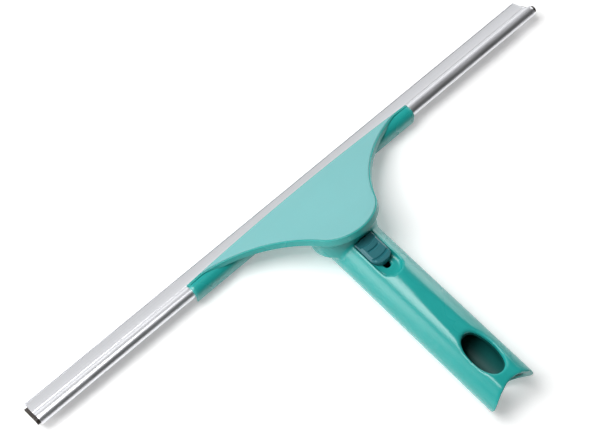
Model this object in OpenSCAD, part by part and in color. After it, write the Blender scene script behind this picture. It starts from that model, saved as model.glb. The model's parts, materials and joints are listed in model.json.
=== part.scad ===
// Window cleaning squeegee: a rubber blade in an aluminium rail, held by a wide moulded head that
// swivels on a hollow handle, with a sliding lock button and a pole socket in the handle.
// At rest it lies on its blade lip and on the underside of the handle. +Z is up, +X runs along
// the rail, +Y points to the blade side, and the origin is the middle of the footprint.

/* [Overall] */
// Depth from the rail's front edge to the tips of the handle's mouth
overall_depth = 184; // [170:1:230]
// Slope of the rail and head plate when the tool lies at rest
tilt = 28; // [24:1:32]

/* [Rail] */
// Length of the aluminium rail
rail_len = 400; // [240:10:500]
// Outside radius of the round bead that holds the rubber
bead_r = 3.6; // [3.2:0.1:4.2]
// Wall of the bead
bead_wall = 1.1; // [0.8:0.1:1.3]
// Distance from the bead's centre to the rail's front edge
wing_reach = 16.4; // [14:0.2:20]
// Thickness of the dished wing
wing_t = 1.3; // [1:0.1:1.5]
// Radius of the wing's dished upper face
wing_dish_r = 40; // [35:1:60]
// Radius of the rounded front edge
wing_edge_r = 0.85; // [0.7:0.05:1]

/* [Blade] */
// How far the rubber stands out of each end of the rail
blade_overhang = 2; // [0:0.5:6]
// Gap between the rubber bulb and the channel
bulb_gap = 0.1; // [0.05:0.05:0.2]
// Thickness of the rubber neck
neck_t = 1.2; // [1:0.1:1.4]
// How far the lip's tip drops below the bead's centre, square to the wing
lip_drop = 3; // [2.6:0.1:4]
// Thickness of the lip at its tip
lip_t = 1.4; // [1:0.1:1.8]

/* [Head] */
// Width of the head across its two arms
head_w = 177.4; // [150:1:200]
// Height of the cover's crown above the bead's centre line
plate_top = 8.6; // [8:0.1:10]
// Height of the head's underside above the bead's centre line
plate_bottom = 3.4; // [3:0.1:4]
// How much lower the arm tips are than the crown
arch_rise = 2.8; // [1:0.1:3]
// Distance from the bead's centre back to the end of the tongue
tongue_reach = 59; // [57:0.5:66]
// Radius of the tongue's rounded end
tongue_r = 24; // [22:0.5:27]
// Radius of the hollow sweep from tongue to arm
cove_r = 85; // [75:1:95]
// Sideways distance to the centre of that sweep
cove_x = 97.9; // [94:0.5:102]
// Front edge of the plate, forward of the bead's centre
plate_front = 1.5; // [1:0.1:2]
// How far the hood stands out past the plate's arm tips
end_step = 0.3; // [0.2:0.1:1]
// Depth of the plate at its arm tips
arm_tip = 1.8; // [1.2:0.1:2.4]
// Thickness of the pale cover
cover_t = 1.2; // [1:0.1:1.4]
// Width of the rim that frames the cover
rim_w = 0.8; // [0.6:0.1:2]
// Height by which the cover stands above the rim
cover_stand = 0.4; // [0.2:0.1:0.6]
// Wall of the hood that wraps the bead
hood_t = 1.2; // [1:0.1:1.6]
// Gap between hood and bead
hood_gap = 0.15; // [0.1:0.05:0.25]
// How far the hood's rear wall hangs below the bead's centre
hood_drop = 6; // [5:0.5:7]

/* [Pivot] */
// Distance from the bead's centre back to the swivel axis
pivot_reach = 32.5; // [31:0.5:36]
// Radius of the swivel disc on the handle
disc_r = 20.5; // [19:0.5:22]
// Depth of the swivel disc below the bead's centre line
disc_depth = 12; // [11:0.5:13]
// Gap between the disc and the head
disc_gap = 0.6; // [0.5:0.05:0.8]
// Radius of the pivot bolt's shank
bolt_r = 4; // [3:0.25:4.5]
// Running clearance of the bolt in its bush
bolt_clear = 0.05; // [0.02:0.01:0.09]
// Wall of the bush
bush_wall = 2.4; // [1.5:0.1:2.6]
// Radius of the index ring
ring_r = 14; // [13:0.25:14.5]
// Depth of the index ring below the bead's centre line
ring_depth = 6.5; // [6:0.1:7]
// Number of index notches around the ring
notch_count = 12; // [8:2:16]
// Furthest swing of the head to each side
swing_max = 90; // [45:5:90]

/* [Handle] */
// Radius of the handle
handle_r = 16; // [15:0.25:18]
// Inner radius of the pole socket
socket_r = 11; // [9:0.25:11.5]
// Depth of the pole socket's lining
socket_depth = 76; // [60:1:80]
// Wall of the socket's lining
sleeve_wall = 1.2; // [1:0.1:1.4]
// How far the mouth's notch is set back from the side tips
mouth_notch = 4.5; // [4:0.5:9]
// How far the mouth leans back for each millimetre of height
mouth_lean = 0.2; // [0.2:0.05:0.5]
// Distance from the mouth's tips to the middle of the oval hole
oval_back = 26; // [23:0.5:32]
// Length of the oval hole
oval_len = 28; // [22:0.5:32]
// Width of the oval hole
oval_w = 16; // [13:0.5:18]
// Depth of the dish along the top of the handle at the mouth
top_dish = 2.2; // [0.6:0.1:2.6]

/* [Lock] */
// Width of the lock button
button_w = 13.4; // [11:0.1:14]
// Length of the lock button
button_len = 19.4; // [17:0.1:21]
// How far the lock button slides back
button_travel = 9; // [6:0.1:10]
// Gap around the lock button
button_gap = 0.4; // [0.3:0.05:0.6]
// Depth of the button's recess below the top of the handle
recess_depth = 4.4; // [4:0.1:5]

/* [Hidden] */
$fn = 96;
eps = 0.01;
far = 400;

// Colours
teal = "#2ab8b0";
pale_teal = "#93d6d8";
deep_teal = "#2c7079";
alloy = "#d9dde1";
black_rubber = "#1c1a19";
steel = "#b9bcc0";
acetal = "#e8e6df";

// Rail and blade section, measured from the bead's centre: first forward, then square to the wing
channel_r = bead_r - bead_wall;
wing_mid = 0.61 * wing_reach;
wing_dip = 1;
wing_edge_at = wing_reach - wing_edge_r;
wing_edge_n = wing_dip + pow(wing_edge_at - wing_mid, 2) / (2 * wing_dish_r) - wing_edge_r + 0.1;
neck_clear = 0.15;
lip_reach = wing_reach - 0.2;

// Place of the bead's centre in the world
bead_z = lip_reach * sin(tilt) + lip_drop * cos(tilt);
rail_front = wing_edge_at * cos(tilt) + wing_edge_n * sin(tilt) + wing_edge_r;
bead_y = overall_depth / 2 - rail_front;

// Head
head_half = head_w / 2;
hood_in = bead_r + hood_gap;
hood_out = hood_in + hood_t;
rear_wall = hood_t - 0.1;
arch_r = pow(head_half, 2) / (2 * arch_rise);
tongue_y = -tongue_reach + tongue_r;
cove_y = tongue_y - sqrt(pow(cove_r + tongue_r, 2) - pow(cove_x, 2));
join_a = atan2(cove_y - tongue_y, cove_x);

// Pivot stack, heights square to the head plate
disc_top = plate_bottom - disc_gap;
bush_r = bolt_r + bolt_clear + bush_wall;
bush_len = disc_depth - ring_depth - 0.5;
ring_gap = 0.4;
washer_t = 0.85;
washer_gap = 0.15;
nut_t = 3.2;
nut_r = bolt_r * 1.65;
bolt_head_t = 2.4;
bolt_head_base = plate_bottom + 1.4;
notch_r = 2.6;
notch_at = ring_r + 1.6;
pin_r = 1.2;
pin_at = ring_r - 3.4;
pin_drop = 1.8;
pin_grip = 4;
pin_gap = 0.3;
stop_spare = 8;
bolt_ease = 0.1;
bolt_tail = 0.8;
seat_ease = 0.2;
nut_room = 1;
screw_r = 1.25;
screw_head_r = 2.4;
screw_head_t = 1.5;
drive_r = 1.2;
drive_depth = 0.8;
hole_ease = 0.05;
rail_screw_x = 14;
index_screw_len = ring_depth + plate_bottom + 2.6;
index_screw_inset = 4.2;
index_screw_at = ring_r - index_screw_inset;
bolt_head_room = 1.55;
bolt_head_r = index_screw_at - screw_r - bolt_head_room;
wear_t = 1.25;
wear_out = disc_r - 1;
wear_in = ring_r + 1.4;

// Handle
tip_y = -overall_depth / 2;
notch_y = tip_y + mouth_notch;
mouth_side = mouth_notch + mouth_lean * handle_r;
mouth_r = (pow(handle_r, 2) + pow(mouth_side, 2)) / (2 * mouth_side);
sleeve_r = socket_r + sleeve_wall;
sleeve_end = notch_y + 1;
sleeve_start = sleeve_end + socket_depth;
oval_y = tip_y + oval_back;
handle_top = 2 * handle_r;
shoulder_n = (handle_top - bead_z - (pivot_reach + disc_r) * sin(tilt)) / cos(tilt);
shoulder_y = bead_y - (pivot_reach + disc_r) * cos(tilt) + shoulder_n * sin(tilt);
body_front = bead_y - pivot_reach * cos(tilt);
dish_r = 60;
dish_start = -8;

// Lock
recess_w = button_w + 2 * button_gap;
recess_floor = handle_top - recess_depth;
button_front = shoulder_y - 0.5;
button_back = button_front - button_len;
recess_back = button_back - button_travel - button_gap;
button_base = recess_floor + 0.3;
button_top = handle_top - 0.4;
floor_t = 3.6;
cavity_top = recess_floor - floor_t;
stem_w = 3.6;
stem_len = 4;
stem_front = button_front - 8.6;
stem_gap = 0.3;
lip_rise = 1.4;
lip_depth = 2.2;
grip_grooves = [[5.5, 0.55], [15.2, 1]];
groove_w = 0.9;
groove_depth = 0.6;
clip_t = 1.6;
clip_gap = 0.3;
clip_w = 10.4;
clip_front = stem_front + 1.2;
clip_back = stem_front - stem_len - 2;
finger_w = 4.6;
finger_t = 1;
tail_base = recess_floor - 1.4;
riser_front = button_front - 1.2;
tail_len = 4.8;
rivet_y = riser_front - finger_t - 2.8;
finger_lift = 1.9;
finger_room = 1.4;
rivet_r = 1;
rivet_head_r = 1.9;
rivet_head_t = 0.35;
button_screw_bite = 1.2;
finger_front = body_front;
finger_n = (tail_base + finger_lift + finger_t / 2 - bead_z - (pivot_reach + notch_at) * sin(tilt))
    / cos(tilt);

// ---- frames -------------------------------------------------------------------------------

// World axes at the bead's centre
module at_bead() { translate([0, bead_y, bead_z]) children(); }

// Head axes at the bead's centre: Y forward along the wing, Z square to it
module in_head() { at_bead() rotate([-tilt, 0, 0]) children(); }

// Head axes on the swivel axis
module at_pivot() { in_head() translate([0, -pivot_reach, 0]) children(); }

// A section drawn in Y and Z, drawn out along X about the middle
module along_x(len) { rotate([90, 0, 90]) linear_extrude(len, center = true) children(); }

// A round bar along Y from y0 back to y1
module along_y(r, y0, y1, z) {
    translate([0, y0, z]) rotate([90, 0, 0]) cylinder(r = r, h = y0 - y1);
}

// A block given by its two corners in Y and Z and its width about the middle
module block(w, y0, y1, z0, z1) {
    translate([-w / 2, min(y0, y1), z0]) cube([w, abs(y1 - y0), z1 - z0]);
}

// A disc or ring that stands on the swivel axis between two heights
module pivot_ring(r_out, r_in, n0, n1) {
    at_pivot() translate([0, 0, n0]) difference() {
        cylinder(r = r_out, h = n1 - n0);
        if (r_in > 0) translate([0, 0, -1]) cylinder(r = r_in, h = n1 - n0 + 2);
    }
}

// ---- shared shapes ------------------------------------------------------------------------

// Points along an arc about a centre, from one angle to another
function arc(c, r, a0, a1, steps) =
    [for (i = [0 : steps]) c + r * [cos(a0 + (a1 - a0) * i / steps), sin(a0 + (a1 - a0) * i / steps)]];

function mirrored(points) = [for (i = [len(points) - 1 : -1 : 0]) [-points[i][0], points[i][1]]];

// Plan of the head plate, drawn in by inset all round
module head_plan(inset = 0) {
    front = plate_front - inset;
    tip = min(plate_front - arm_tip + inset, front);
    r = cove_r + inset;
    sweep = arc([cove_x, cove_y], r, 180 - asin((tip - cove_y) / r), 180 + join_a, 24);
    half = head_half - end_step - inset;
    side = concat(tip < front ? [[half, front], [half, tip]] : [], sweep);
    end = arc([0, tongue_y], tongue_r - inset, join_a - 3, -177 - join_a, 24);
    polygon(concat(side, end, mirrored(side)));
}

// Solid under the crowned top of the head, dropped by a depth below the crown
module under_crown(drop = 0) {
    half_a = asin((head_half + 2) / arch_r);
    crown = arc([0, plate_top - arch_r], arch_r - drop, 90 - half_a, 90 + half_a, 24);
    translate([0, tongue_reach, 0]) rotate([90, 0, 0]) linear_extrude(3 * tongue_reach)
        polygon(concat(crown, [[-head_half - 2, -plate_top], [head_half + 2, -plate_top]]));
}

// Oval of four arcs, its length along Y
module oval(len, wide) {
    end_r = wide * 0.38;
    c = len / 2 - end_r;
    s = wide / 2 - end_r;
    k = (c * c - s * s) / (2 * s);
    side_r = k + wide / 2;
    flank = side_r * c / (side_r - end_r);
    for (side = [-1, 1]) translate([0, side * c]) circle(r = end_r);
    intersection() {
        translate([-k, 0]) circle(r = side_r, $fn = 180);
        translate([k, 0]) circle(r = side_r, $fn = 180);
        square([wide, 2 * flank], center = true);
    }
}

// Plan of the lock button or its recess, square in front and round behind
module button_plan(w, y0, y1) {
    difference() {
        translate([-w / 2, y1]) square([w, y0 - y1]);
        for (side = [-1, 1]) difference() {
            translate([side * w / 2 - w / 2, y1 - eps]) square([w, w / 2 + eps]);
            translate([0, y1 + w / 2]) circle(r = w / 2);
        }
    }
}

// ---- head body ----------------------------------------------------------------------------

module rail() {
    color(alloy) difference() {
        in_head() along_x(rail_len) union() {
            difference() {
                circle(r = bead_r);
                circle(r = channel_r);
                translate([0, -neck_t - neck_clear]) square([bead_r + 1, neck_t + 2 * neck_clear]);
            }
            intersection() {
                translate([wing_mid, wing_dip + wing_dish_r]) difference() {
                    circle(r = wing_dish_r + wing_t, $fn = 360);
                    circle(r = wing_dish_r, $fn = 360);
                }
                translate([channel_r, -wing_t]) square([wing_edge_at - channel_r, 4 * wing_t]);
            }
            translate([wing_edge_at, wing_edge_n]) circle(r = wing_edge_r);
        }
        rail_screw_places() cylinder(r = screw_r, h = far);
    }
}

module blade() {
    len = rail_len + 2 * blade_overhang;
    color(black_rubber) in_head() union() {
        along_x(len) circle(r = channel_r - bulb_gap);
        along_x(len) polygon([
            [0, 0], [bead_r + 0.3, 0], [bead_r + 3.2, -0.55], [lip_reach - 0.3, lip_t - lip_drop],
            [lip_reach, -lip_drop], [bead_r + 3.2, -1.95], [bead_r + 0.3, -neck_t], [0, -neck_t]]);
    }
}

module rail_holder() {
    color(teal) difference() {
        union() {
            at_bead() along_x(head_w) hood_section();
            in_head() intersection() {
                translate([0, 0, plate_bottom]) linear_extrude(plate_top) head_plan();
                under_crown(cover_stand);
            }
        }
        in_head() intersection() {
            translate([0, 0, plate_bottom - 1]) linear_extrude(plate_top) head_plan(rim_w);
            difference() {
                translate([-head_half, -2 * tongue_reach, plate_bottom])
                    cube([head_w, 3 * tongue_reach, 2 * plate_top]);
                under_crown(cover_t);
            }
        }
        in_head() along_x(head_w + 2) circle(r = hood_in);
        pivot_ring(bolt_r + bolt_ease, 0, 0, plate_top + 1);
        pivot_ring(bolt_head_r + seat_ease, 0, bolt_head_base, plate_top + 1);
        index_screw_places() translate([0, 0, -ring_depth]) cylinder(r = screw_r, h = index_screw_len);
        rail_screw_places() cylinder(r = screw_r, h = far);
    }
}

// Section of the hood in world axes, before it is bored for the bead: half a disc and a rear wall
module hood_section() {
    difference() {
        circle(r = hood_out);
        translate([-2 * hood_out, -4 * hood_out]) square([4 * hood_out, 4 * hood_out]);
    }
    translate([-hood_out, -hood_drop]) square([rear_wall, hood_drop + hood_out / 4]);
}

module head_cover() {
    color(pale_teal) in_head() intersection() {
        translate([0, 0, plate_bottom - 1]) linear_extrude(2 * plate_top) head_plan(rim_w);
        difference() {
            under_crown();
            under_crown(cover_t);
        }
    }
}

// The two rail screws enter the hood's rear wall level with the bead's centre
module rail_screw_places() {
    for (side = [-1, 1]) at_bead() translate([side * rail_screw_x, -far, 0])
        rotate([-90, 0, 0]) translate([0, 0, -channel_r]) children();
}

module rail_screws() {
    color(steel) for (side = [-1, 1]) at_bead() translate([side * rail_screw_x, -hood_out, 0])
        rotate([-90, 0, 0]) screw(hood_out - channel_r);
}

// A screw whose shank stands up from z = 0, with its socket head below
module screw(len) {
    difference() {
        union() {
            translate([0, 0, -eps]) cylinder(r = screw_r, h = len + eps);
            translate([0, 0, -screw_head_t]) cylinder(r = screw_head_r, h = screw_head_t);
        }
        translate([0, 0, -screw_head_t - 1]) cylinder(r = drive_r, h = 1 + drive_depth, $fn = 6);
    }
}

module index_screw_places() {
    for (a = [30, 150, 270]) at_pivot() rotate([0, 0, a]) translate([index_screw_at, 0, 0]) children();
}

module index_ring() {
    color(acetal) difference() {
        pivot_ring(ring_r, bolt_r + bolt_ease, -ring_depth, plate_bottom);
        for (i = [0 : notch_count - 1]) at_pivot() rotate([0, 0, 270 + i * 360 / notch_count])
            translate([notch_at, 0, -ring_depth - 1])
                cylinder(r = notch_r, h = ring_depth + 1 + finger_n + finger_t);
        index_screw_places() translate([0, 0, -ring_depth - 1]) {
            cylinder(r = screw_r + hole_ease, h = far);
            cylinder(r = screw_head_r + 2 * hole_ease, h = screw_head_t + 1);
        }
        at_pivot() translate([0, pin_at, -ring_depth - 1]) cylinder(r = pin_r, h = pin_grip + 1);
    }
}

module index_screws() {
    color(steel) index_screw_places() translate([0, 0, screw_head_t - ring_depth])
        screw(index_screw_len - screw_head_t);
}

module stop_pin() {
    color(steel) at_pivot() translate([0, pin_at, -ring_depth - pin_drop])
        cylinder(r = pin_r, h = pin_drop + pin_grip);
}

module pivot_bolt() {
    color(steel) {
        pivot_ring(bolt_r, 0, -disc_depth - washer_gap - washer_t - nut_t - bolt_tail, bolt_head_base + eps);
        pivot_ring(bolt_head_r, 0, bolt_head_base, bolt_head_base + bolt_head_t);
    }
}

module pivot_washer() {
    color(steel) pivot_ring(bolt_head_r, bolt_r + bolt_ease,
        -disc_depth - washer_gap - washer_t, -disc_depth - washer_gap);
}

module pivot_nut() {
    base = -disc_depth - washer_gap - washer_t - nut_t;
    color(steel) difference() {
        at_pivot() translate([0, 0, base]) cylinder(r = nut_r, h = nut_t, $fn = 6);
        pivot_ring(bolt_r, 0, base - 1, base + nut_t + 1);
    }
}

// ---- handle body --------------------------------------------------------------------------

module handle() {
    color(teal) difference() {
        intersection() {
            union() {
                along_y(handle_r, body_front, tip_y, handle_r);
                translate([0, body_front, handle_r]) sphere(r = handle_r);
                pivot_ring(disc_r, 0, -disc_depth, disc_top);
            }
            in_head() translate([-far / 2, -far, disc_top - far]) cube([far, 2 * far, far]);
        }
        pivot_cuts();
        socket_cuts();
        lock_cuts();
    }
}

// Room in the handle for the index ring, bush, stop pin, wear ring and nut
module pivot_cuts() {
    pivot_ring(ring_r + ring_gap, 0, -ring_depth - ring_gap, far);
    pivot_ring(bush_r, 0, -far / 8, 0);
    pivot_ring(bolt_head_r + nut_room, 0, -far / 8, -disc_depth);
    pivot_ring(wear_out, wear_in, disc_top + disc_gap - wear_t, far);
    at_pivot() translate([0, 0, -ring_depth - ring_gap - pin_drop])
        rotate([0, 0, 90 - swing_max - stop_spare]) rotate_extrude(angle = 2 * (swing_max + stop_spare))
            translate([pin_at - pin_r - pin_gap, 0]) square([2 * (pin_r + pin_gap), pin_drop + 1]);
}

// Pole socket, fish-mouth end, oval hole and the dish along the top
module socket_cuts() {
    along_y(sleeve_r, sleeve_start, tip_y - 1, handle_r);
    mouth_cut();
    translate([0, oval_y, handle_r]) linear_extrude(far) oval(oval_len, oval_w);
    translate([0, dish_start, handle_top + dish_r])
        rotate([90 + atan(top_dish / (dish_start - tip_y)), 0, 0]) cylinder(r = dish_r, h = far, $fn = 180);
}

// A leaning round cut across the mouth, set further in by back
module mouth_cut(back = 0) {
    a = atan(mouth_lean);
    translate([0, notch_y - mouth_r / cos(a) + back, handle_top]) rotate([a, 0, 0])
        cylinder(r = mouth_r, h = far, center = true, $fn = 180);
}

// Recess, finger groove, stem slot and the hollow below them
module lock_cuts() {
    translate([0, 0, recess_floor]) linear_extrude(far)
        button_plan(recess_w, shoulder_y - 0.1, recess_back);
    block(finger_w + 2 * button_gap, shoulder_y + ring_r, riser_front - finger_t - button_gap,
        tail_base - 0.2, tail_base + finger_lift + finger_t + finger_room);
    block(finger_w + 2 * button_gap, riser_front + 0.1, riser_front - finger_t - tail_len - stem_gap,
        tail_base - hole_ease, recess_floor + 1);
    block(stem_w + 2 * stem_gap, stem_front + stem_gap, stem_front - stem_len - button_travel - stem_gap,
        cavity_top - 1, recess_floor + 1);
    block(1.3 * handle_r, button_front - 2, sleeve_start - 1, handle_r / 2, cavity_top);
    translate([0, rivet_y, cavity_top - 1]) cylinder(r = rivet_r + hole_ease, h = floor_t + 1);
}

module pole_sleeve() {
    color(deep_teal) difference() {
        along_y(sleeve_r, sleeve_start, sleeve_end, handle_r);
        along_y(socket_r, sleeve_start + 1, sleeve_end - 1, handle_r);
        mouth_cut(1);
        translate([0, oval_y, handle_r]) linear_extrude(far) oval(oval_len, oval_w);
    }
}

module pivot_bush() {
    color("#c9a24a") pivot_ring(bush_r, bolt_r + bolt_clear, -disc_depth, -disc_depth + bush_len);
}

module wear_ring() {
    color(acetal) pivot_ring(wear_out, wear_in, disc_top + disc_gap - wear_t, plate_bottom - 0.1);
}

// Spring strip that clicks in the notches: a nose on the swivel axis's frame, a riser and a tail
module lock_finger() {
    color(steel) {
        at_pivot() translate([0, -notch_at, finger_n - finger_t / 2])
            cylinder(r = notch_r - 0.15, h = finger_t);
        difference() {
            block(finger_w, finger_front, riser_front - finger_t,
                tail_base + finger_lift, tail_base + finger_lift + finger_t);
            pivot_ring(notch_at, 0, -ring_depth, far);
        }
        block(finger_w, riser_front, riser_front - finger_t, tail_base, tail_base + finger_lift + eps);
        difference() {
            block(finger_w, riser_front, riser_front - finger_t - tail_len, tail_base, tail_base + finger_t);
            translate([0, rivet_y, tail_base - 1]) cylinder(r = rivet_r + hole_ease, h = finger_t + 2);
        }
    }
}

module finger_rivet() {
    grip = tail_base + finger_t - cavity_top;
    color(steel) translate([0, rivet_y, cavity_top]) {
        translate([0, 0, -eps]) cylinder(r = rivet_r, h = grip + 2 * eps);
        for (z = [-rivet_head_t, grip]) translate([0, 0, z]) cylinder(r = rivet_head_r, h = rivet_head_t);
    }
}

// ---- lock body ----------------------------------------------------------------------------

module lock_button() {
    color(deep_teal) difference() {
        union() {
            translate([0, 0, button_base]) linear_extrude(button_top - button_base)
                button_plan(button_w, button_front, button_back);
            intersection() {
                translate([0, 0, button_base]) linear_extrude(button_top + lip_rise - button_base)
                    button_plan(button_w, button_front, button_back);
                translate([0, button_back + button_w / 2, 0]) difference() {
                    cylinder(r = button_w / 2, h = far);
                    translate([0, lip_depth, -1]) cylinder(r = button_w / 2, h = far);
                }
            }
            block(stem_w, stem_front, stem_front - stem_len, cavity_top - clip_gap, button_base + eps);
        }
        block(finger_w + 1.2, button_front + 1, riser_front - finger_t - 0.4,
            0, tail_base + finger_lift + finger_t + 0.5);
        for (g = grip_grooves) block(button_w * g[1], button_front - g[0],
            button_front - g[0] - groove_w, button_top - groove_depth, far / 4);
        translate([0, stem_front - stem_len / 2, 0])
            cylinder(r = screw_r + hole_ease, h = button_base + button_screw_bite + 0.3);
    }
}

module button_clip() {
    color(acetal) difference() {
        block(clip_w, clip_front, clip_back,
            cavity_top - clip_gap - clip_t, cavity_top - clip_gap);
        translate([0, stem_front - stem_len / 2, 0]) cylinder(r = screw_r + hole_ease, h = handle_top);
    }
}

module button_screw() {
    base = cavity_top - clip_gap - clip_t;
    color(steel) translate([0, stem_front - stem_len / 2, base])
        screw(button_base + button_screw_bite - base);
}

handle();
pole_sleeve();
pivot_bush();
wear_ring();
lock_finger();
finger_rivet();
rail_holder();
head_cover();
rail();
blade();
rail_screws();
index_ring();
index_screws();
stop_pin();
pivot_bolt();
pivot_washer();
pivot_nut();
lock_button();
button_clip();
button_screw();
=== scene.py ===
"""Looks of a window cleaning squeegee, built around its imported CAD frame.

The moulded head, cover, handle and lock button, the extruded rail and the rubber blade are modelled
here with rounded edges and stand for their CAD nodes. The hardware keeps its CAD shape. Every
finish is a small node tree made from shared groups. All lengths are metres, in the CAD's axes.
"""

from __future__ import annotations

import json
import logging
import math
from dataclasses import dataclass, field
from enum import Enum
from functools import cached_property
from typing import Callable, Iterable, Sequence

import bmesh
import bpy
from mathutils import Matrix, Vector


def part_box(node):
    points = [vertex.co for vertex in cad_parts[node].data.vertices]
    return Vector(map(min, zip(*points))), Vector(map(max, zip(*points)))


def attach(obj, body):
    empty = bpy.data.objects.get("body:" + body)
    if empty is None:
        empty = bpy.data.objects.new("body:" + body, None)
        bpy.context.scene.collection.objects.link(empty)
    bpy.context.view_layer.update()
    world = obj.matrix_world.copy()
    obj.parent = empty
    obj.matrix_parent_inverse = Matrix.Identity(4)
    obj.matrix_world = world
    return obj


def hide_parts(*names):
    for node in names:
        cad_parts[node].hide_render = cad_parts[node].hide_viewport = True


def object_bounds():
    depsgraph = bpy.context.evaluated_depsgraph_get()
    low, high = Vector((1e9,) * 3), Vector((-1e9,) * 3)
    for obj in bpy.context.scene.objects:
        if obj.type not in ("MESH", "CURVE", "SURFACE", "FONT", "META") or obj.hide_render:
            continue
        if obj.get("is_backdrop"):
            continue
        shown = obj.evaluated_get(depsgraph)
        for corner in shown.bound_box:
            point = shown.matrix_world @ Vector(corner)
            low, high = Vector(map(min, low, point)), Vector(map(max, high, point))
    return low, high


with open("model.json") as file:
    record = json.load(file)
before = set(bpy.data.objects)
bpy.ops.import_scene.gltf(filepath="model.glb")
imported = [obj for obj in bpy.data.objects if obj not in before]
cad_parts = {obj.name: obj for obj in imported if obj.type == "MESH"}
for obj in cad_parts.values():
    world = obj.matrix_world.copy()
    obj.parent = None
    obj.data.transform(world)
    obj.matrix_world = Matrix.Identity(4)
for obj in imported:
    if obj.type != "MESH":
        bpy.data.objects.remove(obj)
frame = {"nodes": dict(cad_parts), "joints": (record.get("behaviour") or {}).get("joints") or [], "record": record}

MM = 0.001
MERGE = 0.002 * MM
LOG = logging.getLogger("squeegee")

Section = list[tuple[float, float]]


class Body(str, Enum):
    """Bodies that the joints connect."""

    HANDLE = "handle"
    HEAD = "head"
    LOCK = "lock"


class Slot(str, Enum):
    """Material slots of the record, and a darker finish for the inside of the pole socket, which paints the shade on
    the teal plastic there.
    """

    TEAL = "teal_plastic"
    PALE = "pale_plastic"
    DEEP = "deep_teal_plastic"
    ALLOY = "rail_alloy"
    RUBBER = "blade_rubber"
    STEEL = "hardware_steel"
    ACETAL = "acetal"
    BRASS = "bush_brass"
    PAINTED_SHADE_LINING = "painted_shade_socket_lining"


# ---- node groups ----------------------------------------------------------------------------

WHOLE = (0.0, 1.0)
SKIN_OUTPUTS = (("Colour", "NodeSocketColor"), ("Roughness", "NodeSocketFloat"), ("Height", "NodeSocketFloat"))


@dataclass
class GroupMaker:
    """Makes one shader node group with named sockets.

    Args:
        name: Name of the group.
        inputs: Socket name, socket type and default value of each input.
        outputs: Socket name and socket type of each output.
    """

    name: str
    inputs: Sequence[tuple[str, str, object]]
    outputs: Sequence[tuple[str, str]]
    tree: bpy.types.NodeTree = field(init=False)

    def __post_init__(self) -> None:
        """Makes the empty group with its sockets and its input and output nodes."""
        self.tree = bpy.data.node_groups.new(self.name, "ShaderNodeTree")
        for name, kind, value in self.inputs:
            socket = self.tree.interface.new_socket(name=name, in_out="INPUT", socket_type=kind)
            socket.default_value = value
        for name, kind in self.outputs:
            self.tree.interface.new_socket(name=name, in_out="OUTPUT", socket_type=kind)
        self.entry = self.tree.nodes.new("NodeGroupInput")
        self.exit = self.tree.nodes.new("NodeGroupOutput")

    def node(self, kind: str, **settings: object) -> bpy.types.Node:
        """Adds a node and sets its properties."""
        made = self.tree.nodes.new(kind)
        for name, value in settings.items():
            setattr(made, name, value)
        return made

    def link(self, start: bpy.types.NodeSocket, end: bpy.types.NodeSocket) -> None:
        """Joins an output socket to an input socket."""
        self.tree.links.new(start, end)

    def given(self, name: str) -> bpy.types.NodeSocket:
        """Value that the group is given under a name."""
        return self.entry.outputs[name]

    def gives(self, name: str, value: bpy.types.NodeSocket) -> None:
        """Puts a value out of the group under a name."""
        self.link(value, self.exit.inputs[name])

    def noise(self, place: bpy.types.NodeSocket, detail: float,
              scale: float | bpy.types.NodeSocket) -> bpy.types.NodeSocket:
        """Adds a noise pattern.

        Args:
            place: Coordinates that it reads.
            detail: Number of finer layers.
            scale: How fine it is, as a number or a value of the group.

        Returns:
            The pattern's value.
        """
        made = self.node("ShaderNodeTexNoise")
        made.inputs["Detail"].default_value = detail
        self.link(place, made.inputs["Vector"])
        if isinstance(scale, bpy.types.NodeSocket):
            self.link(scale, made.inputs["Scale"])
        else:
            made.inputs["Scale"].default_value = scale
        return made.outputs["Fac"]

    def ranged(self, value: bpy.types.NodeSocket, start: tuple[float, float],
               end: tuple[float, float]) -> bpy.types.NodeSocket:
        """Maps a value from one range to another.

        Args:
            value: The value.
            start: Range that it comes from.
            end: Range that it goes to.

        Returns:
            The mapped value.
        """
        made = self.node("ShaderNodeMapRange")
        for name, limit in zip(("From Min", "From Max", "To Min", "To Max"), (*start, *end)):
            made.inputs[name].default_value = limit
        self.link(value, made.inputs["Value"])
        return made.outputs["Result"]

    def mixed(self, factor: bpy.types.NodeSocket, first: bpy.types.NodeSocket,
              second: bpy.types.NodeSocket) -> bpy.types.NodeSocket:
        """Mixes two colours.

        Args:
            factor: Share of the second colour.
            first: The first colour.
            second: The second colour.

        Returns:
            The mixed colour.
        """
        made = self.node("ShaderNodeMix", data_type="RGBA")
        self.link(factor, made.inputs["Factor"])
        self.link(first, made.inputs["A"])
        self.link(second, made.inputs["B"])
        return made.outputs["Result"]

    def combined(self, kind: str, *values: bpy.types.NodeSocket) -> bpy.types.NodeSocket:
        """Puts values through a Math node of one kind."""
        made = self.node("ShaderNodeMath", operation=kind)
        for value, end in zip(values, made.inputs):
            self.link(value, end)
        return made.outputs["Value"]


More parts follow.
